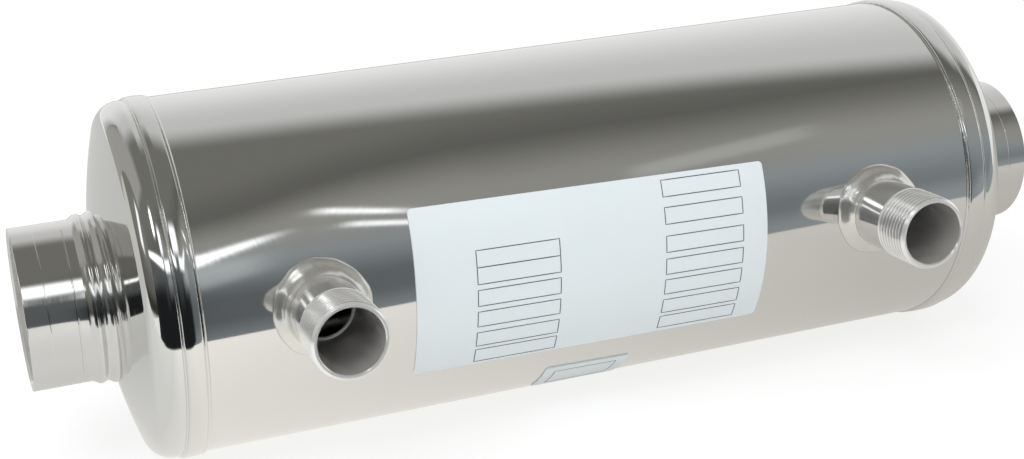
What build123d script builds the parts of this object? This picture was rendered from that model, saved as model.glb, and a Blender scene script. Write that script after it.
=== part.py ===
"""Shell-and-tube heat exchanger for a pool: a polished steel shell lying along X.

Pool water enters one end stub, runs through the straight tubes and leaves at the other end.
Heating water enters and leaves the shell by the two threaded nozzles, which point along -Y.
The origin is the centre of the left stub's mouth, where the pool pipe holds the exchanger.
"""
import os
from math import asin, cos, degrees, floor, radians, sin, sqrt

from build123d import *

# Shell
shell_od = 129.0
shell_wall = 2.0
shell_length = 296.0

# Tube sheets, whose rims show as the bands at the ends of the shell
sheet_thickness = 6.7
sheet_proud = 1.0
sheet_edge_break = 0.3

# End caps, pressed dishes with a straight skirt, a knuckle and a crown
cap_wall = 2.0
cap_skirt = 2.0
cap_knuckle_r = 9.0
cap_crown_r = 200.0

# Pool stubs
stub_od = 58.0
stub_wall = 2.0
stub_reach = 46.0
stub_drop = 3.7
stub_inside = 1.5
stub_mouth_break = 0.8
stub_groove_back = 16.8
stub_groove_width = 0.6
stub_groove_depth = 0.3

# Heating nozzles with a three-quarter inch pipe thread
nozzle_spacing = 215.0
nozzle_reach = 100.4
nozzle_bore = 22.4
nozzle_neck_od = 25.4
thread_od = 26.44
thread_length = 16.7
thread_break = 1.0
bore_break = 0.4

# Welds
nozzle_weld_leg = 4.6
stub_weld_foot = 2.2
stub_weld_length = 6.3
seam_leg = 1.2
stub_bead_shares = ((0.0, 1.0), (0.23, 0.95), (0.31, 0.75), (0.39, 0.32), (0.47, 0.58),
                    (0.58, 0.70), (0.74, 0.60), (0.88, 0.20), (1.0, 0.0))

# Tube bundle on a triangular pitch, with as many tubes as the shell takes
tube_od = 12.0
tube_wall = 0.6
tube_pitch = 16.5
bundle_clearance = 6.9
tube_stickout = 1.0

# Baffles, discs with one side cut away
baffle_thickness = 2.0
baffle_inset = 11.0
baffle_window = 28.0

# Labels stuck on the shell, placed by the angle of their middle above the nozzle plane
label_thickness = 0.3
label_corner_r = 1.5
data_label_width = 135.0
data_label_height = 63.0
data_label_shift = -7.4
data_label_angle = -4.0
data_label_tilt = -1.3
small_label_width = 34.0
small_label_height = 20.0
small_label_shift = -6.0
small_label_angle = -53.0
small_label_tilt = -3.0

# Clearances and the overrun of cuts
tube_fit = 0.1
baffle_fit = 0.3
pipe_fit = 0.1
seat_gap = 0.15
overrun = 5.0

# Derived places
shell_r = shell_od / 2
shell_inner_r = shell_r - shell_wall
half_shell = shell_length / 2
sheet_r = shell_r + sheet_proud
sheet_face = half_shell + sheet_thickness
mouth_x = sheet_face + stub_reach
stub_r = stub_od / 2
neck_r = nozzle_neck_od / 2
thread_r = thread_od / 2
tube_r = tube_od / 2
row_rise = tube_pitch * sqrt(3) / 2
bundle_r = shell_inner_r - bundle_clearance - tube_r
rows_each_way = floor(bundle_r / row_rise)
bundle_rows = range(-rows_each_way, rows_each_way + 1)
crown_centre_to_knuckle = sqrt((cap_crown_r - cap_knuckle_r) ** 2 - (shell_r - cap_knuckle_r) ** 2)
crown_centre_x = sheet_face + cap_skirt - crown_centre_to_knuckle
crown_angle = degrees(asin((shell_r - cap_knuckle_r) / (cap_crown_r - cap_knuckle_r)))
stub_axis_z = -stub_drop
frame_place = Pos(mouth_x, 0, stub_drop)


def along_x(radius, start, end, height=0):
    """A round bar along X between two stations, with its axis at the given height."""
    bar = Cylinder(radius, end - start, align=(Align.CENTER, Align.CENTER, Align.MIN))
    return Pos(start, 0, height) * Rot(0, 90, 0) * bar


def along_nozzle(radius, start, end, station):
    """A round bar along a nozzle axis, between two distances from the shell's axis."""
    bar = Cylinder(radius, end - start, align=(Align.CENTER, Align.CENTER, Align.MIN))
    return Pos(station, -start, 0) * Rot(90, 0, 0) * bar


def dish(inset, start):
    """The right-hand cap as a filled body of revolution, its surface moved in by inset."""
    rim_r = shell_r - inset
    knuckle_r = cap_knuckle_r - inset
    crown_r = cap_crown_r - inset
    knuckle_x = sheet_face + cap_skirt
    knuckle_centre = (knuckle_x, shell_r - cap_knuckle_r)
    with BuildSketch() as half:
        with BuildLine():
            Polyline((crown_centre_x + crown_r, 0), (start, 0), (start, rim_r), (knuckle_x, rim_r))
            CenterArc(knuckle_centre, knuckle_r, 90, crown_angle - 90)
            CenterArc((crown_centre_x, 0), crown_r, crown_angle, -crown_angle)
        make_face()
    return revolve(half.sketch, Axis.X)


def make_shell():
    tube = along_x(shell_r, -half_shell, half_shell)
    tube -= along_x(shell_inner_r, -half_shell - overrun, half_shell + overrun)
    for station in nozzle_stations.values():
        tube -= along_nozzle(neck_r + pipe_fit, 0, shell_r + overrun, station)
    return tube


def tube_places(row):
    """The places of one row of tubes, as (y, z). Odd rows stand half a pitch to the side."""
    z = row * row_rise
    odd = row % 2
    half_width = sqrt(bundle_r ** 2 - z ** 2)
    last = floor(half_width / tube_pitch - odd / 2)
    return [((i + odd / 2) * tube_pitch, z) for i in range(-last - odd, last + 1)]


all_tube_places = [place for row in bundle_rows for place in tube_places(row)]


def drill_for_tubes(plate, fit, start, end):
    """Cut a clearance hole for every tube through a plate."""
    hole = along_x(tube_r + fit, start - overrun, end + overrun)
    return plate - [Pos(0, y, z) * hole for y, z in all_tube_places]


def make_tube_sheet():
    plate = along_x(sheet_r, half_shell, sheet_face)
    rims = [edge for edge in plate.edges() if edge.geom_type == GeomType.CIRCLE]
    plate = chamfer(rims, sheet_edge_break)
    return drill_for_tubes(plate, tube_fit, half_shell, sheet_face)


def make_tube(y, z):
    reach = sheet_face + tube_stickout
    tube = along_x(tube_r, -reach, reach) - along_x(tube_r - tube_wall, -reach - overrun, reach + overrun)
    return Pos(0, y, z) * tube


def make_baffle(station, window_side):
    """A baffle at a station along X, with its window towards +Y or -Y."""
    start = station - baffle_thickness / 2
    end = station + baffle_thickness / 2
    disc_r = shell_inner_r - baffle_fit
    disc = drill_for_tubes(along_x(disc_r, start, end), baffle_fit, start, end)
    window = Box(baffle_thickness + overrun, baffle_window, shell_od)
    window_y = window_side * (disc_r - baffle_window / 2 + baffle_fit)
    return disc - Pos(station, window_y, 0) * window


def make_end_cap():
    cap = dish(0, sheet_face) - dish(cap_wall, sheet_face - overrun)
    return cap - along_x(stub_r + pipe_fit, sheet_face, mouth_x, stub_axis_z)


def make_pool_stub():
    """A plain pipe with its bore broken at the mouth and a fine turned groove behind the free length."""
    crown_x = crown_centre_x + sqrt((cap_crown_r - cap_wall) ** 2 - stub_r ** 2)
    start = crown_x - stub_inside
    bore_r = stub_r - stub_wall
    pipe = along_x(stub_r, start, mouth_x, stub_axis_z)
    pipe -= along_x(bore_r, start - overrun, mouth_x + overrun, stub_axis_z)
    mouth = pipe.edges().filter_by(GeomType.CIRCLE).group_by(Axis.X)[-1].sort_by(SortBy.RADIUS)[0]
    pipe = chamfer(mouth, stub_mouth_break)
    groove_end = mouth_x - stub_groove_back
    groove = along_x(stub_r + overrun, groove_end - stub_groove_width, groove_end, stub_axis_z)
    groove -= along_x(stub_r - stub_groove_depth, start, mouth_x, stub_axis_z)
    return pipe - groove


def make_stub_weld():
    """The weld between cap and stub: two beads side by side, seated on the crown and fading out."""
    inner_r = stub_r + seat_gap
    outer_r = inner_r + stub_weld_foot
    foot_x = crown_centre_x + sqrt(cap_crown_r ** 2 - (outer_r + stub_drop) ** 2)
    root_x = foot_x - cap_wall
    end_x = crown_centre_x + cap_crown_r + stub_weld_length
    outline = [(foot_x + along * (end_x - foot_x), inner_r + out * stub_weld_foot)
               for along, out in stub_bead_shares]
    with BuildSketch() as half:
        with BuildLine():
            Polyline((root_x, inner_r), (root_x, outer_r), *outline, close=True)
        make_face()
    beads = Pos(0, 0, stub_axis_z) * revolve(half.sketch, Axis.X)
    sleeve = along_x(outer_r, root_x, end_x, stub_axis_z)
    sleeve -= along_x(inner_r, root_x - overrun, end_x + overrun, stub_axis_z)
    crown = Pos(crown_centre_x, 0, 0) * Sphere(cap_crown_r + seat_gap)
    return (sleeve - crown) & beads


def make_nozzle(station):
    """A pipe nipple: a plain neck through the shell and a fuller end for the thread."""
    inner_end = shell_inner_r
    thread_start = nozzle_reach - thread_length
    neck = along_nozzle(neck_r, inner_end, thread_start + overrun, station)
    head = along_nozzle(thread_r, thread_start, nozzle_reach, station)
    ends = head.edges().filter_by(GeomType.CIRCLE).sort_by(Axis.Y)
    head = chamfer(ends[0], thread_break)
    head = chamfer(head.edges().filter_by(GeomType.CIRCLE).sort_by(Axis.Y)[-1], thread_r - neck_r)
    pipe = neck + head - along_nozzle(nozzle_bore / 2, inner_end - overrun, nozzle_reach + overrun, station)
    mouth = pipe.edges().filter_by(GeomType.CIRCLE).group_by(Axis.Y)[0].sort_by(SortBy.RADIUS)[0]
    return chamfer(mouth, bore_break)


def make_nozzle_weld(station):
    """The saddle weld: the chamfered join of nozzle and shell, less the two pieces that it joins."""
    block = along_x(shell_r + seat_gap, station - shell_r, station + shell_r)
    pipe = along_nozzle(neck_r + seat_gap, 0, nozzle_reach, station)
    joined = block + pipe
    seam = [edge for edge in joined.edges() if edge.geom_type not in (GeomType.CIRCLE, GeomType.LINE)]
    return chamfer(seam, nozzle_weld_leg) - block - pipe


def make_seam_weld(face_x, side):
    """A small bead round the shell or cap, in the corner against the tube sheet's rim."""
    inner_r = shell_r + seat_gap
    with BuildSketch() as half:
        with BuildLine():
            Polyline((face_x, inner_r), (face_x, inner_r + sheet_proud - sheet_edge_break),
                     (face_x + side * seam_leg, inner_r), close=True)
        make_face()
    return revolve(half.sketch, Axis.X)


def make_label(width, height, shift, angle, tilt):
    """A thin sheet with rounded corners, stuck on the shell at an angle above the nozzle plane."""
    outer_r = shell_r + seat_gap + label_thickness
    wrap = along_x(outer_r, -half_shell, half_shell) - along_x(shell_r + seat_gap, -half_shell, half_shell)
    half_turn = degrees(height / 2 / shell_r)
    flat_height = 2 * shell_r * sin(radians(half_turn))
    front = Plane(origin=(0, 0, 0), x_dir=(1, 0, 0), z_dir=(0, -cos(radians(angle)), sin(radians(angle))))
    stamp = front * (Pos(shift, 0) * Rot(0, 0, tilt) * RectangleRounded(width, flat_height, label_corner_r))
    return wrap & extrude(stamp, outer_r + overrun)


nozzle_stations = {"left": -nozzle_spacing / 2, "right": nozzle_spacing / 2}
baffle_station = nozzle_spacing / 2 - baffle_inset

nodes = {"shell": make_shell()}

right_end = {
    "tube_sheet": make_tube_sheet(),
    "end_cap": make_end_cap(),
    "pool_stub": make_pool_stub(),
    "stub_weld": make_stub_weld(),
    "seam_weld_shell": make_seam_weld(half_shell, -1),
    "seam_weld_cap": make_seam_weld(sheet_face, 1),
}
for name, piece in right_end.items():
    nodes[name + "_right"] = piece
    nodes[name + "_left"] = mirror(piece, about=Plane.YZ)

for side, station in nozzle_stations.items():
    nodes["heating_nozzle_" + side] = make_nozzle(station)
    nodes["nozzle_weld_" + side] = make_nozzle_weld(station)

for number, row in enumerate(bundle_rows, start=1):
    nodes["tube_row_%d" % number] = Compound([make_tube(y, z) for y, z in tube_places(row)])

nodes["baffle_left"] = make_baffle(-baffle_station, 1)
nodes["baffle_middle"] = make_baffle(0, -1)
nodes["baffle_right"] = make_baffle(baffle_station, 1)

nodes["data_label"] = make_label(data_label_width, data_label_height, data_label_shift,
                                 data_label_angle, data_label_tilt)
nodes["small_label"] = make_label(small_label_width, small_label_height, small_label_shift,
                                  small_label_angle, small_label_tilt)

os.makedirs("parts", exist_ok=True)
for name, piece in nodes.items():
    export_step(frame_place * piece, "parts/%s.step" % name)
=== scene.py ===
"""Looks of a polished steel shell-and-tube heat exchanger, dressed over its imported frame.

Each steel piece is a smooth mesh in the frame's own metres, because a mirror finish shows every facet.
The steel takes its look from what it mirrors: a pale floor that ends in front of the object, a dim curtain
with lamps before and over it, a side wall, a small dark card and a white sky. Only mirrored rays see the
curtain, the wall and the card.
"""
from math import asin, atan2, cos, pi, radians, sin, sqrt, tau

import bmesh
import bpy
import numpy as np
from mathutils import Euler, Matrix, Vector


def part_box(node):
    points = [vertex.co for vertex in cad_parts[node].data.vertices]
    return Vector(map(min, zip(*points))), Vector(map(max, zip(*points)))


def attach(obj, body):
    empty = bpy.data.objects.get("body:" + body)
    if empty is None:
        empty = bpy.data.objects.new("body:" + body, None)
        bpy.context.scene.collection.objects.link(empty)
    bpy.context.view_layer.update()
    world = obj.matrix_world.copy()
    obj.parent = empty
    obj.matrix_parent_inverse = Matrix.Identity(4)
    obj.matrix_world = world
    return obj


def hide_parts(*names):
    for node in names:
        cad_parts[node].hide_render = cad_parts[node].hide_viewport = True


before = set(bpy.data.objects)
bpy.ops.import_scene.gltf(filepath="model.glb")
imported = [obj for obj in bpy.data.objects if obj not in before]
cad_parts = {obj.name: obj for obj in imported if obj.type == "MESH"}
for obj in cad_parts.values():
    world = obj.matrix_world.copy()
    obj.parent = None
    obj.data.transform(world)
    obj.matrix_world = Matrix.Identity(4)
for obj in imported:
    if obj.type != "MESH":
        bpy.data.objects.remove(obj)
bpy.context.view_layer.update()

mm = 0.001


def in_mm(*rows):
    """Rows of sizes that are given in millimetres."""
    return [tuple(size * mm for size in row) for row in rows]


def middle_and_half(node):
    """The middle of a frame node's box and half its size."""
    lo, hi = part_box(node)
    return (lo + hi) / 2, (hi - lo) / 2


# Places and radii read from the frame
shell_middle, shell_half = middle_and_half("shell")
sheet_middle, sheet_half = middle_and_half("tube_sheet_right")
stub_middle, stub_half = middle_and_half("pool_stub_right")
nozzle_middle, nozzle_half = middle_and_half("heating_nozzle_right")
middle_x = shell_middle.x
axis_z = shell_middle.z
shell_r = shell_half.z
half_shell = shell_half.x
sheet_r = sheet_half.z
sheet_face = sheet_middle.x + sheet_half.x - middle_x
stub_r = stub_half.z
stub_z = stub_middle.z
stub_start = stub_middle.x - stub_half.x - middle_x
mouth_s = stub_middle.x + stub_half.x - middle_x
thread_r = nozzle_half.z
nozzle_out = nozzle_half.y - nozzle_middle.y
nozzle_station = nozzle_middle.x - middle_x
ends = {"left": -1, "right": 1}

# Walls and pressed forms
shell_wall = 2.0 * mm
cap_wall = 2.0 * mm
cap_skirt = 2.0 * mm
cap_knuckle_r = 9.0 * mm
cap_crown_r = 200.0 * mm
pipe_fit = 0.1 * mm
rim_crown = 0.20 * mm
rim_edge_r = 0.6 * mm

# Stubs
stub_wall = 2.0 * mm
stub_mouth_break = 0.8 * mm
stub_lip_r = 0.25 * mm

# Fine turned lines on the stubs: distance back from the mouth, width and depth
stub_lines = in_mm((7.5, 0.4, 0.04), (16.8, 0.6, 0.10))

# Double bead at the foot of each stub: distance back from the mouth and height over the stub
stub_weld_profile = in_mm((20.5, 0.02), (21.2, 0.32), (22.0, 0.90), (22.8, 1.35), (23.5, 1.48), (24.2, 1.35),
                          (24.9, 0.98), (25.5, 0.72), (26.1, 0.76), (26.8, 1.15), (27.5, 1.62), (28.2, 1.95),
                          (28.9, 2.05), (29.5, 1.75), (30.0, 0.90))
stub_weld_sunk = 0.3 * mm
stub_weld_unevenness = 0.07
stub_weld_waves = (3, 5, 8, 13, 21, 34)

# Nozzles
neck_r = 12.7 * mm
bore_r = 11.2 * mm
bore_break = 0.4 * mm
thread_length = 16.7 * mm
thread_start = nozzle_out - thread_length
thread_pitch = 1.814 * mm
thread_depth = 0.90 * mm
thread_break = 1.0 * mm
thread_runout = 2.6 * mm
thread_root_share = 0.10
thread_flank_share = 0.78
neck_end_step = 0.05 * mm
root_lip_height = 0.8 * mm
root_lip_length = 1.8 * mm

# Flared weld at each nozzle's foot: distance out from the neck and height over the shell
saddle_profile = in_mm((-0.3, 4.3), (0.02, 4.4), (0.20, 4.05), (0.50, 3.55), (0.95, 3.0), (1.5, 2.5),
                       (2.1, 2.1), (2.8, 1.75), (3.4, 1.45), (3.9, 1.15), (4.3, 0.80), (4.55, 0.40),
                       (4.65, -0.05), (4.5, -0.4), (-0.3, -0.4))
saddle_unevenness = 0.05
saddle_width_waves = (2, 3, 5, 8, 13)
saddle_height_waves = (3, 5, 8, 13, 21)

# Seam beads: radius, place of the bead's middle off the band, ripples, lumps and the first one's seed
seam_bead_r = {"shell": 0.85 * mm, "cap": 0.50 * mm}
seam_bead_off = 0.25 * mm
seam_form = {"Ripples": 90, "Ripple Depth": 0.03, "Lump Size": 0.12 * mm, "Lump Scale": 300.0}
seam_first_seed = 10.0

# Tube bundle
tube_r = 6.0 * mm
tube_wall = 0.6 * mm
tube_pitch = 16.5 * mm
tube_fit = 0.1 * mm
tubes_in_row = (4, 5, 6, 7, 6, 5, 4)

# Labels, placed by the angle of their middle above the nozzle plane
label_seat = 0.15 * mm
label_thickness = 0.3 * mm
label_corner_r = 1.5 * mm
data_label = dict(width=135.0 * mm, height=63.0 * mm, shift=-7.4 * mm, angle=-4.0, tilt=-1.3)
small_label = dict(width=34.0 * mm, height=20.0 * mm, shift=-6.0 * mm, angle=-53.0, tilt=-3.0)

# Empty ruled boxes printed on the labels, in columns about the data label's middle, in millimetres
rule_line = {"Line Width": 0.35 * mm, "Line Height": 0.06 * mm}
data_box = (31.0 * mm, 6.0 * mm)
small_box = (25.0 * mm, 13.0 * mm)
rule_columns = ((-29.8, (11.2, 5.2, -2.9, -11.1, -19.6, -27.3)),
                (42.2, (26.4, 16.6, 6.3, -2.2, -10.4, -18.9, -26.7)))
data_boxes = in_mm(*((u, v) for u, rows in rule_columns for v in rows))

# Steel finishes: colour, stretch of the fine lines, scale of the smudges, roughness clean and dull, share of
# the lines in it, strength of the lines, depth of the slow waves and metallic
steel_finishes = {
    "polished": ((0.735, 0.735, 0.725), (900, 6, 6), 30.0, 0.04, 0.08, 0.4, 0.07, 0.006 * mm, 1.0),
    "turned": ((0.72, 0.715, 0.70), (2500, 12, 12), 60.0, 0.05, 0.11, 0.6, 0.10, 0.0003 * mm, 1.0),
    # The thread's steel is lighter than the neck's: its satin cut finish, and partly a painted highlight on
    # its flanks
    "thread": ((0.94, 0.935, 0.92), (60, 900, 60), 90.0, 0.20, 0.27, 0.2, 0.04, 0.001 * mm, 0.66),
    "bore": ((0.74, 0.73, 0.71), (60, 60, 60), 60.0, 0.12, 0.22, 0.3, 0.05, 0.002 * mm, 0.58),
    # The lip's steel is lighter than the bore's so the pipe's inner end shows as a bright arc: a painted
    # highlight
    "lip": ((0.92, 0.91, 0.88), (60, 60, 60), 60.0, 0.20, 0.30, 0.3, 0.05, 0.002 * mm, 0.40),
    "neck": ((0.74, 0.735, 0.72), (300, 300, 300), 150.0, 0.10, 0.17, 0.3, 0.04, 0.001 * mm, 0.80),
    "bead": ((0.74, 0.735, 0.72), (300, 300, 300), 150.0, 0.12, 0.20, 0.3, 0.08, 0.001 * mm, 1.0),
    "weld": ((0.78, 0.77, 0.74), (300, 300, 300), 120.0, 0.18, 0.30, 0.3, 0.10, 0.001 * mm, 0.85),
    # The inner steel is far darker than the rest: painted shade inside the shell, on the tubes and baffles
    "inner": ((0.38, 0.37, 0.36), (40, 900, 900), 40.0, 0.25, 0.40, 0.5, 0.10, 0.004 * mm, 1.0)}
wear_labels = ("Line Stretch", "Smudge Scale", "Clean Roughness", "Dull Roughness", "Line Share")
line_depth = 0.02 * mm
# Painted shade down in the thread roots: the colour the thread's steel takes at the bottom of each root
thread_root_shade = (0.40, 0.395, 0.38)

# Printed films: colour and roughness
films = {"label_film": ((0.78, 0.85, 0.87), 0.35), "rule_ink": ((0.10, 0.11, 0.13), 0.5)}
film_mottle = 0.97
film_mottle_scale = 60.0

# Curtain: a dim room before and over the object, placed by x from the shell's middle and the angle above the
# nozzle plane, each as from, to and step. A crease runs across it, under which it is paler.
curtain_r = 1.2
curtain_columns = ((-1.6, -0.2, 0.05), (-0.2, 0.8, 0.005), (0.8, 2.8, 0.05))
curtain_angles = (-60, 176, 0.5)
crease_line = ((-0.20, 30), (0.07, 48), (0.14, 58), (0.20, 64), (0.30, 71), (0.45, 72), (0.85, 69))
warm_tint = np.array((1.03, 1.02, 0.94))
cool_tint = np.array((0.91, 1.00, 1.05))
lamp_tint = np.array((0.97, 1.00, 1.02))
warm_angles = (10, 40)

# Tones over and under the crease, and at its foot, each with the rise that it gains and where
over_tone, over_rise, over_reach = 0.14, 0.05, 25
under_tone, under_rise, under_start = 0.125, 0.20, -4
under_reach = ((0.05, 16), (0.35, 36))
under_left = (-0.08, 0.02)
right_rise, right_start = 0.02, (0.55, 0.80)
low_tone, low_slope, low_angles = 0.13, 0.13, (-4, 20)
table_rise, table_angle, table_slope, table_height = 0.10, -28, 13, 14

# Dark doorway and dim left end, by x and angle, and a bright beam over the left end
doorway_left = (-0.100, -0.085)
doorway_right = (0.004, 0.016)
doorway_top = (2, 16)
dim_left_end = (-0.35, -0.20)
dim_left_top = (3, 17)
dark_share = 0.85
beam_end = (-0.80, -0.50)
beam_foot = (70, 80)
beam_rise = 0.20

# Top edge: its angle and how that falls along x, its step at the left, its softness, and how thin it is above
top_angle, top_slope, top_bend, top_part = 107, 13, 16, (-0.2, 1.0)
top_step, top_step_part = 9, (-0.10, -0.04)
top_soft = 11
top_thin, far_thin, far_angle = 0.58, 0.30, 160

# Lamps on the curtain: x at both ends, angle at both ends, half height at both ends and brightness
lamps = {
    "stub": (-0.200, -0.030, 38.5, 37.0, 8.5, 8.5, 1.70),
    "far left": (-1.60, -0.15, 37.0, 24.0, 2.4, 3.4, 2.00),
    "nozzle": (-0.54, -0.39, 51.0, 51.0, 8.0, 8.0, 4.60),
    "star": (-0.085, 0.030, 23.5, 22.2, 4.2, 3.8, 1.40),
    "left": (0.000, 0.115, 20.6, 32.2, 3.6, 1.4, 1.30),
    "left glow": (-0.04, 0.10, 8.0, 17.0, 7.0, 6.0, 0.22),
    "upper strip": (0.150, 0.262, 41.5, 30.8, 1.9, 1.4, 1.25),
    "lower strip": (0.178, 0.29, 30.6, 22.0, 1.7, 1.3, 1.10),
    "right glow": (0.50, 0.74, 33.0, 44.0, 5.0, 5.0, 0.12)}
lamp_fade = 0.012
lamp_long_fade = 4 * lamp_fade

# Side wall at the curtain's left end: y and z as from, to and step, the slanted lower edge of its dim part,
# the rises by which that pales upwards, each from one z to another, and a bright slanted strip
wall_x = -1.6
wall_y = (-1.3, 3.0, 0.02)
wall_z = (-0.3, 2.2, 0.02)
wall_edge = ((-1.30, -0.30), (-0.12, -0.22), (0.23, 0.22), (0.67, 0.47), (1.70, 0.75))
wall_edge_soft = 0.04
wall_pale = 0.66
wall_dim = 0.04
wall_dim_rises = ((0.10, -0.15, 0.10), (0.08, 0.10, 0.50))
strip_line = ((0.49, -0.33), (0.93, -0.08))
strip_foot = (0.40, 0.52)
strip_top = (0.90, 1.05)
strip_half = 0.16
strip_bright = 1.2

# Dark card that hides the floor from the left cap's knuckle and band, placed about the shell's middle
card_x = (-0.178, -0.1475)
card_y = -0.078
card_z = (-0.0135, 0.030)
card_grid = 60
card_tone = 0.016
card_left_soft = 0.008
card_top_start = 0.004
card_corner_r = 0.0055
card_corner_share = 0.8

# Floor: mirrored rays see it as far as a table's edge, cream by the shell and neutral to the left, glowing
# with painted light and shadow
floor_z = -61.9 * mm
floor_reach = 8.0
table_edge_y = -196.7 * mm
table_edge_slope = -0.122
table_tongue_left = (-215.0 * mm, -200.0 * mm)
table_tongue_right = (-160.0 * mm, -148.0 * mm)
table_tongue_reach = -250.0 * mm
floor_neutral = (1.0, 1.0, 0.98)
floor_cream = (1.0, 0.978, 0.91)
floor_tint_part = (-0.20, -0.14)
floor_paint = 0.94
floor_paint_seen = 0.30
floor_glow_seen = 0.76

# Painted light and shade of the mirrored floor along X and Y: from, to, and the shade at both
# Brighter by the left end and dimmer to the right; darker towards the object and under it, a painted shadow
floor_painted_shades = {"along": ((-0.14, 0.14, 1.10, 0.72), (-0.18, -0.14, 0.84, 1.0)),
                "across": ((-0.19, -0.07, 1.0, 0.88), (-0.04, 0.06, 1.0, 0.80))}

# Sky, soft lamp and camera
sky_light = 0.72
softbox_size = (1.2, 0.8)
softbox_power = 10.0
softbox_place = Vector((-0.75, -0.75, 1.2))
camera_place = Vector((-0.02672, -0.58598, 0.18804))
camera_right = Vector((0.93241, -0.35643, -0.05968))
camera_down = Vector((-0.15708, -0.25098, -0.95516))
camera_lens = 59.19
camera_near = 0.01
sensor_width = 36.0


# Mesh helpers

def new_object(name, data):
    """An object of the scene, at the origin."""
    obj = bpy.data.objects.new(name, data)
    bpy.context.scene.collection.objects.link(obj)
    return obj


def new_piece(name, mesh, material, nodes, sharp_angle=30):
    """A piece of the object, smooth but for its sharp edges, in place of frame nodes."""
    mesh.shade_smooth()
    mesh.set_sharp_from_angle(angle=radians(sharp_angle))
    if not mesh.materials:
        mesh.materials.append(material)
    piece = new_object(name, mesh)
    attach(piece, "root")
    if nodes:
        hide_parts(*nodes)


def turn_outwards(work, mesh):
    """Puts a closed solid into a mesh, with its faces turned outwards."""
    bmesh.ops.recalc_face_normals(work, faces=work.faces)
    work.to_mesh(mesh)
    work.free()


def closed_mesh(name, verts, faces):
    """The mesh of a closed solid."""
    mesh = bpy.data.meshes.new(name)
    mesh.from_pydata(verts, [], faces)
    work = bmesh.new()
    work.from_mesh(mesh)
    turn_outwards(work, mesh)
    return mesh


def round_trip(count):
    """Each number of a closed loop with the next one."""
    return [(n, (n + 1) % count) for n in range(count)]


def strip(loop, after):
    """The faces between two closed loops of as many points."""
    return [(loop[n], loop[m], after[m], after[n]) for n, m in round_trip(len(loop))]


def grid(rows, columns):
    """The numbers of points that lie in rows."""
    return np.arange(rows * columns).reshape(rows, columns).tolist()


def ring_of_solid(name, rings):
    """A closed solid from rings of points, each joined to the next and the last to the first."""
    count, segments, _ = np.shape(rings)
    index = grid(count, segments)
    faces = [face for n, m in round_trip(count) for face in strip(index[n], index[m])]
    return closed_mesh(name, np.reshape(rings, (-1, 3)).tolist(), faces)


def finish_rings(mesh, segments, materials, finish_of_ring):
    """Gives each stretch between two rings of a ring of solid its own finish, by number."""
    for material in materials:
        mesh.materials.append(material)
    for face in mesh.polygons:
        face.material_index = finish_of_ring[face.index // segments]


def turns(segments):
    """The angles of the points round a ring."""
    return np.linspace(0, tau, segments, endpoint=False)


def ring_about_x(side, s, radius, height, segments):
    """A ring about a line along X, a distance s from the shell's middle. Its radius may differ by point."""
    a = turns(segments)
    return np.stack([middle_x + side * s + 0 * a, radius * np.cos(a), height + radius * np.sin(a)], axis=1)


def ring_about_nozzle(side, out, radius, segments):
    """A ring about a nozzle's axis, a distance out from the shell's axis."""
    a = turns(segments)
    x = middle_x + side * nozzle_station + radius * np.cos(a)
    return np.stack([x, -out + 0 * a, axis_z + radius * np.sin(a)], axis=1)


def slow_waves(segments, counts, seed):
    """An uneven line round a closed loop: waves of several counts, each with its own start."""
    rng = np.random.default_rng(seed)
    return sum(np.sin(n * turns(segments) + rng.uniform(0, tau)) / sqrt(n) for n in counts)


# Shell

def shell_skin(radius, hole_r, first):
    """One skin of the shell, unrolled as (x, angle), with a polar patch round each nozzle hole.

    Returns its points, its faces and the loops at its ends and holes. Indices start at first.
    """
    columns = 360
    end_rows = 4
    middle_rows = 12
    patch_columns = 22
    patch_half = 24.0 * mm
    patch_rows = 12
    patch_rings = 8
    stations = (-nozzle_station, nozzle_station)
    xs = [-half_shell, *(s + d for s in stations for d in (-patch_half, patch_half)), half_shell]
    steps = (end_rows, patch_rows, middle_rows, patch_rows, end_rows)
    rows = [x for start, end, n in zip(xs, xs[1:], steps) for x in np.linspace(start, end, n, endpoint=False)]
    rows.append(half_shell)
    points = [(x, a) for x in rows for a in np.linspace(-pi, pi, columns, endpoint=False)]
    low, high = columns // 2 - patch_columns, columns // 2 + patch_columns
    patch_starts = (steps[0], sum(steps[:3]))
    index = grid(len(rows), columns)
    faces = []
    for i, pair in enumerate(zip(index, index[1:])):
        quads = strip(*pair)
        in_patch = any(s <= i < s + patch_rows for s in patch_starts)
        faces += quads[:low] + quads[high:] if in_patch else quads
    loops = [index[0], index[-1]]
    for station, s in zip(stations, patch_starts):
        e = s + patch_rows
        edge = [row[low] for row in index[s:e]] + index[e][low:high]
        edge += [row[high] for row in index[e:s:-1]] + index[s][high:low:-1]
        loop = edge
        for step in range(1, patch_rings + 1):
            t = step / patch_rings
            inner = range(len(points), len(points) + len(edge))
            for n in edge:
                x, a = points[n]
                b = atan2(a * radius, x - station)
                hole_x, hole_a = station + hole_r * cos(b), asin(hole_r * sin(b) / radius)
                points.append((between(x, hole_x, t), between(a, hole_a, t)))
            faces += strip(loop, inner)
            loop = inner
        loops.append(loop)
    verts = [(middle_x + x, -radius * cos(a), axis_z + radius * sin(a)) for x, a in points]
    return verts, *([[first + n for n in row] for row in rows] for rows in (faces, loops))


def out_from_axis(point):
    """The direction straight out from the shell's axis to a point."""
    return Vector((0, point.y, point.z - axis_z)).normalized()


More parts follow.
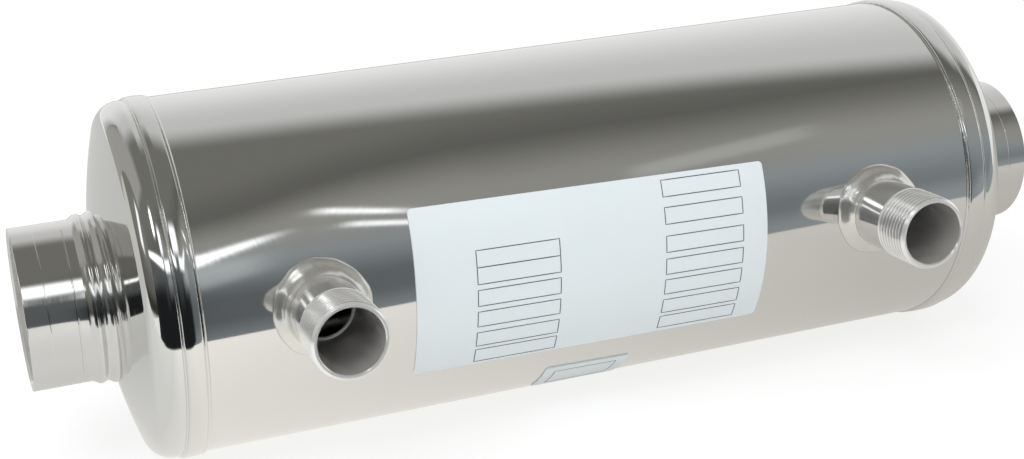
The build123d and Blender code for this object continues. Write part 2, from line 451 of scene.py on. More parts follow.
def make_shell(material):
    """The shell as a tube with its true wall, and exact cylinder normals on both skins."""
    skin_facing = 0.9
    hole_r = neck_r + pipe_fit
    verts, faces, loops = shell_skin(shell_r, hole_r, 0)
    inner_verts, inner_faces, inner_loops = shell_skin(shell_r - shell_wall, hole_r, len(verts))
    walls = [face for outer, inner in zip(loops, inner_loops) for face in strip(outer, inner)]
    mesh = closed_mesh("shell", verts + inner_verts, faces + inner_faces + walls)
    new_piece("polished_shell", mesh, material, ["shell"])
    normals = []
    for face in mesh.polygons:
        facing = face.normal.dot(out_from_axis(face.center))
        for n in face.vertices:
            if abs(facing) > skin_facing:
                round_normal = out_from_axis(mesh.vertices[n].co)
                normals.append(round_normal if facing > 0 else -round_normal)
            else:
                normals.append(face.normal.copy())
    mesh.normals_split_custom_set(normals)


# End caps, tube sheets and stubs

def cap_rings(side, inset, segments, crown_steps, knuckle_steps):
    """Rings over a cap's skin from its skirt to the stub's hole, which lies off the shell's axis."""
    knuckle = cap_knuckle_r - inset
    crown = cap_crown_r - inset
    knuckle_r = shell_r - cap_knuckle_r
    bend_r = cap_crown_r - cap_knuckle_r
    crown_centre = sheet_face + cap_skirt - sqrt(bend_r ** 2 - knuckle_r ** 2)
    crown_angle = asin(knuckle_r / bend_r)
    rings = [ring_about_x(side, sheet_face, shell_r - inset, axis_z, segments)]
    for a in np.linspace(pi / 2, crown_angle, knuckle_steps + 1):
        s = sheet_face + cap_skirt + knuckle * cos(a)
        rings.append(ring_about_x(side, s, knuckle_r + knuckle * sin(a), axis_z, segments))
    edge_r = crown * sin(crown_angle)
    hole_r = stub_r + pipe_fit
    for t in np.linspace(0, 1, crown_steps + 1)[1:]:
        ring = ring_about_x(side, 0, between(edge_r, hole_r, t), between(axis_z, stub_z, t), segments)
        across = ring[:, 1] ** 2 + (ring[:, 2] - axis_z) ** 2
        ring[:, 0] = middle_x + side * (crown_centre + np.sqrt(crown ** 2 - across))
        rings.append(ring)
    return rings


def make_cap(name, side, material):
    """A pressed dish: skirt, knuckle and shallow crown, with its true wall."""
    segments = 288
    outer_steps = (24, 40)
    inner_steps = (8, 8)
    outer = cap_rings(side, 0, segments, *outer_steps)
    inner = cap_rings(side, cap_wall, segments, *inner_steps)
    mesh = ring_of_solid("cap", outer + inner[::-1])
    new_piece("dished_cap_" + name, mesh, material, ["end_cap_" + name])


def tube_places():
    """The middles of the tubes across the bundle, as (y, z) about the shell's axis."""
    rise = tube_pitch * sqrt(3) / 2
    half = (len(tubes_in_row) - 1) / 2
    return [((i - (n - 1) / 2) * tube_pitch, (row - half) * rise)
            for row, n in enumerate(tubes_in_row) for i in range(n)]


def make_sheet(name, side, material):
    """A tube sheet: a rim with softened edges, and a hole through it for each tube."""
    rim_segments = 288
    hole_segments = 32
    edge_steps = 5
    rim_steps = 12
    thickness = sheet_face - half_shell
    edge = [(rim_edge_r * (1 - cos(a)), -rim_edge_r * (1 - sin(a)))
            for a in np.linspace(0, pi / 2, edge_steps + 1)]
    across = np.linspace(rim_edge_r, thickness - rim_edge_r, rim_steps + 1)[1:-1]
    profile = edge + [(s, 0) for s in across] + [(thickness - s, rise) for s, rise in edge[::-1]]
    rim = []
    for s, rise in profile:
        bulge = rim_crown * (2 * s / thickness - 1) ** 2
        rim.append(ring_about_x(side, half_shell + s, sheet_r + rise - bulge, axis_z, rim_segments))
    holes = [[ring_about_x(side, s, tube_r + tube_fit, axis_z + z, hole_segments) + (0, y, 0)
              for s in (half_shell, sheet_face)] for y, z in tube_places()]
    work = bmesh.new()
    walls = [[[work.verts.new(point) for point in ring] for ring in rings] for rings in [rim] + holes]
    for rings in walls:
        for ring, after in zip(rings, rings[1:]):
            for face in strip(ring, after):
                work.faces.new(face)
    for end in (0, -1):
        loops = [rings[end] for rings in walls]
        edges = [work.edges.get((loop[k - 1], loop[k])) for loop in loops for k in range(len(loop))]
        bmesh.ops.triangle_fill(work, edges=edges, use_beauty=True, use_dissolve=False)
    mesh = bpy.data.meshes.new("sheet")
    turn_outwards(work, mesh)
    new_piece("tube_sheet_band_" + name, mesh, material, ["tube_sheet_" + name])


def make_stub(name, side, outer_material, inner_material):
    """A turned pipe end with two fine turned lines and a softened mouth."""
    segments = 256
    lip_steps = 4
    line_shares = ((0, 0), (0.3, 1), (0.7, 1), (1, 0))
    inner_r = stub_r - stub_wall
    outer = [(stub_start, stub_r)]
    for back, width, depth in sorted(stub_lines, reverse=True):
        start = mouth_s - back - width
        outer += [(start + share * width, stub_r - cut * depth) for share, cut in line_shares]
    for a in np.linspace(0, pi / 2, lip_steps + 1):
        outer.append((mouth_s - stub_lip_r * (1 - sin(a)), stub_r - stub_lip_r * (1 - cos(a))))
    inner = [(mouth_s, inner_r + stub_mouth_break), (mouth_s - stub_mouth_break, inner_r),
             (stub_start, inner_r)]
    mesh = ring_of_solid("stub", [ring_about_x(side, s, r, stub_z, segments) for s, r in outer + inner])
    finish_rings(mesh, segments, (outer_material, inner_material), [0] * len(outer) + [1] * len(inner))
    new_piece("turned_stub_" + name, mesh, outer_material, ["pool_stub_" + name],
              sharp_angle=10)


def make_stub_weld(name, side, material, seed):
    """The double bead at a stub's foot, polished but a little uneven round the stub."""
    segments = 360
    uneven = stub_weld_unevenness * slow_waves(segments, stub_weld_waves, seed)
    sizes = [(back, height * (1 + uneven)) for back, height in stub_weld_profile]
    sizes += [(stub_weld_profile[n][0], -stub_weld_sunk) for n in (-1, 0)]
    rings = [ring_about_x(side, mouth_s - back, stub_r + height, stub_z, segments) for back, height in sizes]
    new_piece("stub_weld_bead_" + name, ring_of_solid("stub_bead", rings), material,
              ["stub_weld_" + name], sharp_angle=60)


# Nozzles

def thread_crest(out):
    """The radius before the thread is cut: it rises from the neck and is chamfered at the mouth."""
    rise = min(out - thread_start, thread_r - neck_r)
    return min(neck_r + rise, thread_r - thread_break + nozzle_out - out)


def thread_radius(out, segments):
    """The radius of the cut thread round one station: flat on crest and root, running out at the neck."""
    phase = ((nozzle_out - out) / thread_pitch - turns(segments) / tau) % 1.0
    height = np.clip((np.abs(2 * phase - 1) - thread_root_share) / thread_flank_share, 0, 1)
    cut = min((out - thread_start) / thread_runout, 1.0)
    uncut = neck_r + min(out - thread_start, thread_r - neck_r)
    return np.minimum(uncut - cut * thread_depth * (1 - height), thread_crest(out))


def make_nozzle(name, side, materials):
    """A pipe nipple of four materials: polished neck, cut pipe thread, bore, and the lip where that ends."""
    segments = 144
    stations_per_pitch = 14
    neck_steps = 6
    lip_steps = 6
    inner_end = shell_r - shell_wall
    thread_steps = round(thread_length / thread_pitch * stations_per_pitch)
    neck = [(inner_end + (thread_start - inner_end) * n / neck_steps, neck_r) for n in range(neck_steps)]
    neck.append((thread_start - neck_end_step, neck_r))
    outs = np.linspace(thread_start, nozzle_out, thread_steps)
    thread = [(out, thread_radius(out, segments)) for out in outs]
    bore = [(nozzle_out, bore_r + bore_break), (nozzle_out - bore_break, bore_r)]
    # The lip takes a lighter steel than the bore, a painted highlight round the pipe's inner end
    lip = [(inner_end + root_lip_length * (1 - t), bore_r - root_lip_height * sin(pi * t))
           for t in np.linspace(0, 1, lip_steps + 1)]
    rings = [ring_about_nozzle(side, out, r, segments) for out, r in neck + thread + bore + lip]
    mesh = ring_of_solid("nozzle", rings)
    # How far down into a root each thread point lies, which sets the painted shade there
    depth = np.zeros((len(rings), segments))
    for n, (out, radius) in enumerate(thread, len(neck)):
        depth[n] = (thread_crest(out) - radius) / thread_depth
    mesh.attributes.new("root", "FLOAT", "POINT").data.foreach_set("value", depth.reshape(-1))
    finish_of_ring = [n for n, stretch in enumerate((neck, thread, bore, lip)) for _ in stretch]
    finish_rings(mesh, segments, materials, finish_of_ring)
    new_piece("threaded_nozzle_" + name, mesh, materials[0], ["heating_nozzle_" + name],
              sharp_angle=40)


# Node helpers

def add_node(tree, kind, values=None, **settings):
    """A node with its settings, and its inputs set to values or linked to other outputs."""
    node = tree.nodes.new(kind)
    for key, value in settings.items():
        setattr(node, key, value)
    for key, value in (values or {}).items():
        if isinstance(value, bpy.types.NodeSocket):
            tree.links.new(value, node.inputs[key])
        else:
            node.inputs[key].default_value = value
    return node


def form(tree, kind, values=None, **settings):
    """The first output of a geometry node."""
    return add_node(tree, "GeometryNode" + kind, values, **settings).outputs[0]


def look(tree, kind, values=None, **settings):
    """The first output of a shader node."""
    return add_node(tree, "ShaderNode" + kind, values, **settings).outputs[0]


def math_node(tree, operation, *values, clamp=False):
    """The output of one sum on sockets or numbers."""
    return look(tree, "Math", dict(enumerate(values)), operation=operation, use_clamp=clamp)


def times(tree, product, *others):
    """The product of sockets and numbers."""
    for value in others:
        product = math_node(tree, "MULTIPLY", product, value)
    return product


def plus(tree, total, *others, clamp=False):
    """The sum of sockets and numbers."""
    for value in others:
        total = math_node(tree, "ADD", total, value, clamp=clamp)
    return total


def minus(tree, value, less):
    """What is left of a socket or number."""
    return math_node(tree, "SUBTRACT", value, less)


def ramp(tree, value, low, high, at_low, at_high):
    """A number that runs from one value to another between two places, and is level outside them."""
    labels = ("Value", "From Min", "From Max", "To Min", "To Max")
    return look(tree, "MapRange", dict(zip(labels, (value, low, high, at_low, at_high))))


def blend(tree, share, first, second):
    """A colour between two, by a share."""
    values = {0: share, "A": (*first, 1), "B": (*second, 1)}
    return add_node(tree, "ShaderNodeMix", values, data_type="RGBA").outputs["Result"]


def object_place(tree):
    """The place on the object, which a pattern follows."""
    return add_node(tree, "ShaderNodeTexCoord").outputs["Object"]


def new_group(name, kind, inputs, outputs):
    """An empty node group with named sockets, and what its input node gives."""
    tree = bpy.data.node_groups.new(name, kind)
    for way, sockets in (("INPUT", inputs), ("OUTPUT", outputs)):
        for label, socket_type in sockets.items():
            tree.interface.new_socket(label, in_out=way, socket_type="NodeSocket" + socket_type)
    return tree, tree.nodes.new("NodeGroupInput").outputs


def floats(*labels):
    """Sockets for plain numbers."""
    return dict.fromkeys(labels, "Float")


def new_growth(name, sizes):
    """An empty geometry tree with named inputs for its sizes and its material."""
    inputs = {"Geometry": "Geometry", **sizes, "Material": "Material"}
    return new_group(name, "GeometryNodeTree", inputs, {"Geometry": "Geometry"})


def end_growth(tree, shape, given):
    """Ends a geometry tree with a real mesh in its material."""
    real = form(tree, "RealizeInstances", {"Geometry": shape})
    coated = form(tree, "SetMaterial", {"Geometry": real, "Material": given["Material"]})
    add_node(tree, "NodeGroupOutput", {"Geometry": coated})
    return tree


def oblong(tree, width, height):
    """A flat oblong path."""
    return form(tree, "CurvePrimitiveQuadrilateral", {"Width": width, "Height": height}, mode="RECTANGLE")


def swept(tree, path, width, height):
    """A flat path made solid with an upright oblong section."""
    upright = form(tree, "SetCurveNormal", {"Curve": path}, mode="Z_UP")
    return form(tree, "CurveToMesh", {"Curve": upright, "Profile Curve": oblong(tree, width, height)})


def grow(name, verts, edges, tree, values):
    """The plain mesh that a geometry tree makes from points and edges, with its named inputs set."""
    base = bpy.data.meshes.new(name)
    base.from_pydata(verts, edges, [])
    seedling = new_object(name, base)
    modifier = seedling.modifiers.new("grow", "NODES")
    modifier.node_group = tree
    for item in tree.interface.items_tree:
        if item.in_out == "INPUT" and item.name in values:
            modifier[item.identifier] = values[item.name]
    evaluated = seedling.evaluated_get(bpy.context.evaluated_depsgraph_get())
    mesh = bpy.data.meshes.new_from_object(evaluated)
    seedling.modifiers.remove(modifier)
    bpy.data.objects.remove(seedling)
    return mesh


# Tube bundle

def tube_bundle_tree():
    """Open tubes along X, one on each point."""
    tube_segments = 40
    tree, given = new_growth("tube_bundle", floats("Tube Radius", "Wall", "Length"))
    middle_r = minus(tree, given["Tube Radius"], times(tree, given["Wall"], 0.5))
    circle = form(tree, "CurvePrimitiveCircle", {"Resolution": tube_segments, "Radius": middle_r})
    tube = swept(tree, circle, given["Wall"], given["Length"])
    lying = form(tree, "Transform", {"Geometry": tube, "Rotation": Euler((0, pi / 2, 0))})
    placed = form(tree, "InstanceOnPoints", {"Points": given["Geometry"], "Instance": lying})
    return end_growth(tree, placed, given)


def make_bundle(material):
    """All the tubes of the bundle, as one piece."""
    tube_half = middle_and_half("tube_row_4")[1]
    verts = [(middle_x, y, axis_z + z) for y, z in tube_places()]
    values = {"Tube Radius": tube_r, "Wall": tube_wall, "Length": 2 * tube_half.x, "Material": material}
    mesh = grow("bundle", verts, [], tube_bundle_tree(), values)
    rows = [f"tube_row_{n + 1}" for n in range(len(tubes_in_row))]
    new_piece("tube_bundle", mesh, material, rows)


# Welds

def weld_bead_tree():
    """A round bead along a closed path, rippled as each drop of metal set, with slow lumps."""
    points_per_ripple = 10
    bead_segments = 20
    sizes = {"Ripples": "Int", **floats("Bead Radius", "Ripple Depth", "Lump Size", "Lump Scale", "Seed")}
    tree, given = new_growth("weld_bead", sizes)
    path = form(tree, "MeshToCurve", {"Mesh": given["Geometry"]})
    count = times(tree, given["Ripples"], points_per_ripple)
    even = form(tree, "ResampleCurve", {"Curve": path, "Count": count})
    phase = times(tree, form(tree, "SplineParameter"), given["Ripples"], pi)
    crest = math_node(tree, "ABSOLUTE", math_node(tree, "SINE", phase))
    dip = times(tree, minus(tree, 1, crest), given["Ripple Depth"])
    scale = times(tree, minus(tree, 1, dip), given["Bead Radius"])
    ring = form(tree, "CurvePrimitiveCircle", {"Resolution": bead_segments, "Radius": 1.0})
    bead = form(tree, "CurveToMesh", {"Curve": even, "Profile Curve": ring, "Scale": scale})
    noise = {"W": given["Seed"], "Scale": given["Lump Scale"], "Detail": 1.0}
    lumps = look(tree, "TexNoise", noise, noise_dimensions="4D")
    raised = times(tree, minus(tree, lumps, 0.5), given["Lump Size"])
    push = look(tree, "VectorMath", {0: form(tree, "InputNormal"), "Scale": raised}, operation="SCALE")
    lumpy = form(tree, "SetPosition", {"Geometry": bead, "Offset": push})
    return end_growth(tree, lumpy, given)


def make_saddle(name, side, material, seed):
    """The flared weld round a nozzle's neck, laid on the shell and a little uneven."""
    segments = 288
    wider = 1 + saddle_unevenness * slow_waves(segments, saddle_width_waves, seed)
    higher = 1 + saddle_unevenness * slow_waves(segments, saddle_height_waves, seed + len(ends))
    rings = []
    for out, height in saddle_profile:
        ring = ring_about_nozzle(side, 0, neck_r + out * wider, segments)
        ring[:, 1] = -np.sqrt(shell_r ** 2 - (ring[:, 2] - axis_z) ** 2) - height * higher
        rings.append(ring)
    new_piece("saddle_weld_" + name, ring_of_solid("saddle", rings), material,
              ["nozzle_weld_" + name], sharp_angle=60)


def make_seams(name, side, material, seed, tree):
    """Thin beads on both sides of a band."""
    segments = 360
    for where, s in (("shell", half_shell - seam_bead_off), ("cap", sheet_face + seam_bead_off)):
        verts = ring_about_x(side, s, shell_r, axis_z, segments).tolist()
        values = {**seam_form, "Bead Radius": seam_bead_r[where], "Seed": seam_first_seed + seed,
                  "Material": material}
        mesh = grow("seam", verts, round_trip(segments), tree, values)
        new_piece(f"seam_bead_{where}_{name}", mesh, material, [f"seam_weld_{where}_{name}"],
                  sharp_angle=60)


# Labels

def on_label(label, u, v, lift):
    """The place of a point on a label, from its flat place about the label's middle and its height."""
    tilt = radians(label["tilt"])
    x = label["shift"] + u * cos(tilt) - v * sin(tilt)
    angle = radians(label["angle"]) + (u * sin(tilt) + v * cos(tilt)) / shell_r
    r = shell_r + label_seat + lift
    return (middle_x + x, -r * cos(angle), axis_z + r * sin(angle))


def make_label(name, node, label, material):
    """A thin film with rounded corners, wrapped on the shell."""
    columns = 40
    corner_steps = 8
    straight_steps = 48
    half_w, half_h = label["width"] / 2, label["height"] / 2
    straight = half_h - label_corner_r
    corner = [straight + label_corner_r * sin(a) for a in np.linspace(0, pi / 2, corner_steps + 1)]
    between = np.linspace(-straight, straight, straight_steps + 1)[1:-1]
    rows = [-v for v in corner[::-1]] + list(between) + corner
    verts = []
    for v in rows:
        over = max(abs(v) - straight, 0)
        w = half_w - label_corner_r + sqrt(max(label_corner_r ** 2 - over ** 2, 0))
        us = np.linspace(-w, w, columns)
        verts += [on_label(label, u, v, label_thickness) for u in us]
        verts += [on_label(label, u, v, -label_seat) for u in us[::-1]]
    index = grid(len(rows), 2 * columns)
    faces = [face for row, after in zip(index, index[1:]) for face in strip(row, after)]
    faces += [(row[k], row[k + 1], row[-2 - k], row[-1 - k])
              for row in (index[0], index[-1]) for k in range(columns - 1)]
    new_piece(name, closed_mesh(name, verts, faces), material, [node], sharp_angle=40)


def label_rules_tree():
    """Thin ruled boxes drawn flat, one about each point, then wrapped on the shell as a label is."""
    cuts_per_side = 9
    sizes = floats("Box Width", "Box Height", "Line Width", "Line Height", "Surface Radius", "Wrap Radius",
                   "Shift", "Angle", "Tilt")
    tree, given = new_growth("label_rules", {**sizes, "Axis": "Vector"})
    box = oblong(tree, given["Box Width"], given["Box Height"])
    fine = form(tree, "SubdivideCurve", {"Curve": box, "Cuts": cuts_per_side})
    ruled = swept(tree, fine, given["Line Width"], given["Line Height"])
    placed = form(tree, "InstanceOnPoints", {"Points": given["Geometry"], "Instance": ruled})
    real = form(tree, "RealizeInstances", {"Geometry": placed})
    flat = {"Vector": form(tree, "InputPosition"), "Angle": given["Tilt"]}
    tilted = look(tree, "VectorRotate", flat, rotation_type="Z_AXIS")
    u, v, lift = add_node(tree, "ShaderNodeSeparateXYZ", {0: tilted}).outputs
    angle = plus(tree, math_node(tree, "DIVIDE", v, given["Wrap Radius"]), given["Angle"])
    radius = plus(tree, given["Surface Radius"], lift)
    out = times(tree, math_node(tree, "COSINE", angle), radius, -1)
    up = times(tree, math_node(tree, "SINE", angle), radius)
    curved = look(tree, "CombineXYZ", {"X": plus(tree, u, given["Shift"]), "Y": out, "Z": up})
    moved = look(tree, "VectorMath", {0: curved, 1: given["Axis"]}, operation="ADD")
    wrapped = form(tree, "SetPosition", {"Geometry": real, "Position": moved})
    return end_growth(tree, wrapped, given)


def make_rules(name, label, places, box, material, tree):
    """The empty ruled boxes of a label, one about each place."""
    values = {**rule_line, "Box Width": box[0], "Box Height": box[1], "Wrap Radius": shell_r,
              "Surface Radius": shell_r + label_seat + label_thickness, "Shift": label["shift"],
              "Angle": radians(label["angle"]), "Tilt": radians(label["tilt"]),
              "Axis": (middle_x, 0.0, axis_z), "Material": material}
    mesh = grow("rules", [(u, v, 0) for u, v in places], [], tree, values)
    new_piece(name, mesh, material, [], sharp_angle=40)


# Materials

def new_material(name):
    """A material, its tree and the sockets of its main shader."""
    material = bpy.data.materials.new(name)
    material.use_nodes = True
    tree = material.node_tree
    return material, tree, tree.nodes["Principled BSDF"].inputs


def steel_finish_group():
    """Fine lines across one direction and slow smudges, as a roughness and a height."""
    inputs = {"Vector": "Vector", **floats(*wear_labels), "Line Stretch": "Vector"}
    outputs = floats("Roughness", "Height", "Wave")
    tree, given = new_group("steel_finish", "ShaderNodeTree", inputs, outputs)
    clean_at, dull_at = 0.3, 0.7
    stretch = {0: given["Vector"], 1: given["Line Stretch"]}
    stretched = look(tree, "VectorMath", stretch, operation="MULTIPLY")
    lines = look(tree, "TexNoise", {"Vector": stretched, "Scale": 1.0, "Detail": 3.0})
    slow = {"Vector": given["Vector"], "Scale": given["Smudge Scale"]}
    smudge = look(tree, "TexNoise", {**slow, "Detail": 4.0})
    wave = look(tree, "TexNoise", {**slow, "Detail": 0.0})
    smudge_share = minus(tree, 1.0, given["Line Share"])
    mixed = plus(tree, times(tree, lines, given["Line Share"]), times(tree, smudge, smudge_share))
    rough = ramp(tree, mixed, clean_at, dull_at, given["Clean Roughness"], given["Dull Roughness"])
    add_node(tree, "NodeGroupOutput", {"Roughness": rough, "Height": lines, "Wave": wave})
    return tree


def steel(name, finish, values):
    """A metal with its own fine lines, smudges and roughness, and slow waves that bend what it mirrors."""
    color, *wear, line_strength, wave_depth, metallic = values
    material, tree, shader = new_material(name)
    shader["Base Color"].default_value = (*color, 1)
    shader["Metallic"].default_value = metallic
    inputs = {"Vector": object_place(tree), **dict(zip(wear_labels, wear))}
    worn = add_node(tree, "ShaderNodeGroup", inputs, node_tree=finish).outputs
    tree.links.new(worn["Roughness"], shader["Roughness"])
    waved = look(tree, "Bump", {"Distance": wave_depth, "Height": worn["Wave"]})
    raised = look(tree, "Bump", {"Strength": line_strength, "Distance": line_depth, "Height": worn["Height"],
                                 "Normal": waved})
    tree.links.new(raised, shader["Normal"])
    return material


def paint_root_shade(material, root_shade):
    """Paints shade into a thread's material: a darker colour down in the roots, which a mesh attribute marks.
    """
    tree = material.node_tree
    base = tree.nodes["Principled BSDF"].inputs["Base Color"]
    root = add_node(tree, "ShaderNodeAttribute", attribute_name="root").outputs["Fac"]
    tree.links.new(blend(tree, root, base.default_value[:3], root_shade), base)


def film(name, color, roughness):
    """A satin printed film, a little uneven in tone."""
    material, tree, shader = new_material(name)
    mottle = look(tree, "TexNoise", {"Vector": object_place(tree), "Scale": film_mottle_scale, "Detail": 3.0})
    tone = blend(tree, mottle, [c * film_mottle for c in color], color)
    tree.links.new(tone, shader["Base Color"])
    shader["Roughness"].default_value = roughness
    return material


# Studio

def stage_object(name, mesh, material):
    """A piece of the studio."""
    mesh.materials.append(material)
    obj = new_object(name, mesh)
    return obj


def soft_step(low, high, value):
    """0 below low, 1 above high and a soft step between."""
    t = np.clip((value - low) / (high - low), 0, 1)
    return t * t * (3 - 2 * t)


def soft_drop(low, high, value):
    """1 below low, 0 above high and a soft step between."""
    return 1 - soft_step(low, high, value)


def between(first, last, share):
    """A value between two, by a share."""
    return first + (last - first) * share


def on_line(line, value):
    """The second number of a line of points, where the first is a value."""
    return np.interp(value, *zip(*line))


def toned_sheet(name, x, y, z, colours, cover):
    """A glowing sheet about the shell's middle, clear where its cover is 0, for mirrored rays alone."""
    points = np.stack(np.broadcast_arrays(middle_x + x, y, axis_z + z), axis=-1)
    rows, columns, _ = points.shape
    index = np.arange(rows * columns).reshape(rows, columns)
    quads = np.stack([index[:-1, :-1], index[1:, :-1], index[1:, 1:], index[:-1, 1:]], axis=-1)
    mesh = bpy.data.meshes.new(name)
    mesh.from_pydata(points.reshape(-1, 3).tolist(), [], quads.reshape(-1, 4).tolist())
    tones = mesh.attributes.new("tone", "FLOAT_COLOR", "POINT")
    tones.data.foreach_set("color", np.concatenate([colours, cover[..., None]], axis=-1).reshape(-1))
    material, tree, _ = new_material(name)
    tree.nodes.clear()
    tone = add_node(tree, "ShaderNodeAttribute", attribute_name="tone").outputs
    glow = look(tree, "Emission", {"Color": tone["Color"]})
    clear = look(tree, "BsdfTransparent")
    mixed = look(tree, "MixShader", {0: tone["Alpha"], 1: clear, 2: glow})
    add_node(tree, "ShaderNodeOutputMaterial", {"Surface": mixed})
    sheet = stage_object(name, mesh, material)
    sheet.visible_camera = sheet.visible_diffuse = sheet.visible_shadow = False


def lamp_tone(lamp, x, angle):
    """A slanted bright strip with soft ends."""
    start, end, start_angle, end_angle, start_half, end_half, bright = lamp
    t = np.clip((x - start) / (end - start), 0, 1)
    along = soft_step(start - lamp_fade, start + lamp_fade, x)
    along *= soft_drop(end - lamp_long_fade, end + lamp_fade, x)
    off = (angle - between(start_angle, end_angle, t)) / between(start_half, end_half, t)
    return bright * along * np.exp(-off ** 4)


def curtain_look(x, angle):
    """The colour and the cover of the curtain."""
    below = on_line(crease_line, x) - angle
    over = over_tone + over_rise * soft_step(0, over_reach, -below)
    pale = soft_step(under_start, on_line(under_reach, x), below) * soft_step(*under_left, x)
    under = under_tone + under_rise * pale + right_rise * soft_step(*right_start, x)
    foot = low_tone + low_slope * np.clip(x, 0, 1)
    tone = between(foot, np.where(below < 0, over, under), soft_step(*low_angles, angle))
    tone += table_rise * soft_drop(0, table_height, angle - table_angle - table_slope * x)
    doorway = soft_step(*doorway_left, x) * soft_drop(*doorway_right, x) * soft_drop(*doorway_top, angle)
    dim_left = soft_drop(*dim_left_end, x) * soft_drop(*dim_left_top, angle)
    tone *= 1 - dark_share * np.maximum(doorway, dim_left)
    beam = soft_drop(*beam_end, x) * soft_step(*beam_foot, angle)
    tone += beam_rise * beam
    warmth = soft_step(*warm_angles, angle)[..., None]
    colours = tone[..., None] * between(cool_tint, warm_tint, warmth)
    colours += sum(lamp_tone(lamp, x, angle) for lamp in lamps.values())[..., None] * lamp_tint
    near = np.clip(x, *top_part)
    edge = top_angle - top_slope * near - top_bend * near ** 2 + top_step * soft_drop(*top_step_part, x)
    far = soft_step(edge + top_soft, far_angle, angle)
    thin = soft_step(edge - top_soft, edge + top_soft, angle) * (top_thin + far_thin * far)
    return colours, 1 - thin * (1 - beam)


def make_curtain():
    """The dim room that the steel mirrors, finer where the lamps are."""
    xs = np.concatenate([np.arange(*part) for part in curtain_columns])
    x, angle = np.meshgrid(xs, np.arange(*curtain_angles), indexing="ij")
    turn = np.radians(angle)
    y, z = -curtain_r * np.cos(turn), curtain_r * np.sin(turn)
    toned_sheet("curtain", x, y, z, *curtain_look(x, angle))


def make_side_wall():
    """A pale wall to the left with a dim part, which the left cap's face and knuckle mirror."""
    y, z = np.meshgrid(np.arange(*wall_y), np.arange(*wall_z), indexing="ij")
    dim = wall_dim + sum(rise * soft_step(start, end, z) for rise, start, end in wall_dim_rises)
    tone = between(wall_pale, dim, soft_step(-wall_edge_soft, wall_edge_soft, z - on_line(wall_edge, y)))
    within = soft_step(*strip_foot, z) * soft_drop(*strip_top, z)
    bright = strip_bright * within * np.exp(-((y - on_line(strip_line, z)) / strip_half) ** 4)
    colours = tone[..., None] * warm_tint + bright[..., None] * lamp_tint
    toned_sheet("side_wall", wall_x, y, z, colours, np.ones_like(tone))


def make_card():
    """A small dark card with a soft top, which gives the left cap and band their black lower ends."""
    x, z = np.meshgrid(np.linspace(*card_x, card_grid), np.linspace(*card_z, card_grid), indexing="ij")
    left, right = card_x
    foot, top = card_z
    cover = soft_step(left, left + card_left_soft, x) * soft_drop(card_top_start, top, z)
    past_x = np.maximum(x - right + card_corner_r, 0)
    past_z = np.maximum(foot + card_corner_r - z, 0)
    cover *= soft_drop(card_corner_share * card_corner_r, card_corner_r, np.hypot(past_x, past_z))
    toned_sheet("card", x, card_y, z, np.full((*x.shape, 3), card_tone) * cool_tint, cover)


def make_floor():
    """A pale floor, white to the camera but for a soft shadow, and glowing to mirrored rays with painted
    light and shadow.
    """
    mesh = bpy.data.meshes.new("floor")
    corners = ((-1, -1), (1, -1), (1, 1), (-1, 1))
    mesh.from_pydata([(x * floor_reach, y * floor_reach, floor_z) for x, y in corners], [], [(0, 1, 2, 3)])
    material, tree, _ = new_material("floor")
    tree.nodes.clear()
    rays = add_node(tree, "ShaderNodeLightPath").outputs
    x, y, _ = add_node(tree, "ShaderNodeSeparateXYZ", {0: object_place(tree)}).outputs
    along = minus(tree, x, middle_x)
    edge_y = math_node(tree, "MULTIPLY_ADD", along, table_edge_slope, table_edge_y)
    tongue = times(tree, ramp(tree, along, *table_tongue_left, 0.0, 1.0),
                   ramp(tree, along, *table_tongue_right, 1.0, 0.0))
    edge_y = math_node(tree, "MULTIPLY_ADD", tongue, table_tongue_reach, edge_y)
    mirrored = plus(tree, rays["Is Glossy Ray"], rays["Is Transmission Ray"], clamp=True)
    gone = times(tree, math_node(tree, "LESS_THAN", y, edge_y), mirrored)

    # Painted light and shade of the mirrored floor, with a painted shadow towards and under the object
    painted_shades = [ramp(tree, along, *shade) for shade in floor_painted_shades["along"]]
    painted_shades += [ramp(tree, y, *shade) for shade in floor_painted_shades["across"]]
    tint = blend(tree, ramp(tree, along, *floor_tint_part, 0.0, 1.0), floor_neutral, floor_cream)
    shown = look(tree, "Emission", {"Color": tint, "Strength": times(tree, *painted_shades)})

    tone = ramp(tree, rays["Is Camera Ray"], 0, 1, floor_paint, floor_paint_seen)
    colour = look(tree, "CombineColor", dict.fromkeys(("Red", "Green", "Blue"), tone))
    paint = look(tree, "BsdfDiffuse", {"Color": colour})
    white = look(tree, "Emission", {"Strength": times(tree, rays["Is Camera Ray"], floor_glow_seen)})
    seen = look(tree, "AddShader", {0: paint, 1: white})
    either = look(tree, "MixShader", {0: mirrored, 1: seen, 2: shown})
    mixed = look(tree, "MixShader", {0: gone, 1: either, 2: look(tree, "BsdfTransparent")})
    add_node(tree, "ShaderNodeOutputMaterial", {"Surface": mixed})
    stage_object("floor", mesh, material)


def make_sky():
    """A white surround, as bright as white to the camera and in mirrors, and softer as light."""
    world = bpy.data.worlds.new("sky")
    bpy.context.scene.world = world
    world.use_nodes = True
    tree = world.node_tree
    rays = add_node(tree, "ShaderNodeLightPath").outputs
    kinds = ("Is Camera Ray", "Is Glossy Ray", "Is Transmission Ray")
    seen = plus(tree, *(rays[kind] for kind in kinds), clamp=True)
    back = tree.nodes["Background"].inputs
    back["Color"].default_value = (1, 1, 1, 1)
    tree.links.new(ramp(tree, seen, 0, 1, sky_light, 1.0), back["Strength"])


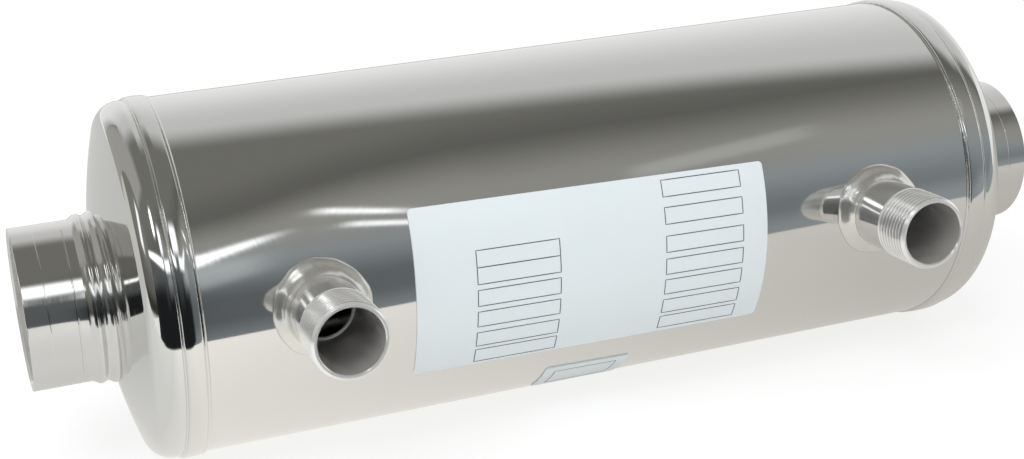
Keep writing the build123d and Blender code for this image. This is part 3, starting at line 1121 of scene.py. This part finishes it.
def make_lamp():
    """One large soft lamp over the left shoulder."""
    light = bpy.data.lights.new("softbox", "AREA")
    light.shape = "RECTANGLE"
    light.size, light.size_y = softbox_size
    light.energy = softbox_power
    lamp = new_object("softbox", light)
    lamp.location = Vector((middle_x, 0, 0)) + softbox_place
    lamp.rotation_euler = (-softbox_place).to_track_quat("-Z", "Y").to_euler()
    lamp.visible_glossy = False


def make_camera():
    """The photograph's view, fitted to the object's outlines."""
    data = bpy.data.cameras.new("camera")
    data.sensor_fit = "HORIZONTAL"
    data.sensor_width = sensor_width
    data.lens = camera_lens
    data.clip_start = camera_near
    camera = new_object("camera", data)
    back = camera_right.cross(-camera_down)
    camera.matrix_world = Matrix((camera_right, -camera_down, back)).transposed().to_4x4()
    camera.location = camera_place
    bpy.context.scene.camera = camera


# Build

finish = steel_finish_group()
steels = {name: steel(name + "_steel", finish, values) for name, values in steel_finishes.items()}
paint_root_shade(steels["thread"], thread_root_shade)
white_film, ink = [film(name, *values) for name, values in films.items()]

seam_tree = weld_bead_tree()
make_shell(steels["polished"])
for seed, (end, side) in enumerate(ends.items()):
    make_cap(end, side, steels["polished"])
    make_sheet(end, side, steels["polished"])
    make_stub(end, side, steels["turned"], steels["bore"])
    make_stub_weld(end, side, steels["bead"], seed)
    make_nozzle(end, side, [steels[part] for part in ("neck", "thread", "bore", "lip")])
    make_saddle(end, side, steels["weld"], seed)
    make_seams(end, side, steels["bead"], seed, seam_tree)
# The tubes take the inner steel, whose dark colour is painted shade inside the shell
make_bundle(steels["inner"])
make_label("data_film", "data_label", data_label, white_film)
make_label("small_film", "small_label", small_label, white_film)
rules_tree = label_rules_tree()
make_rules("data_rules", data_label, data_boxes, data_box, ink, rules_tree)
make_rules("small_rules", small_label, [(0, 0)], small_box, ink, rules_tree)
# The baffles take the inner steel too, painted dark as shade inside the shell
for baffle in ("baffle_left", "baffle_middle", "baffle_right"):
    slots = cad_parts[baffle].data.materials
    slots.clear()
    slots.append(steels["inner"])

make_curtain()
make_side_wall()
make_card()
make_floor()
make_sky()
make_lamp()
make_camera()
bpy.context.scene.view_settings.view_transform = "Standard"
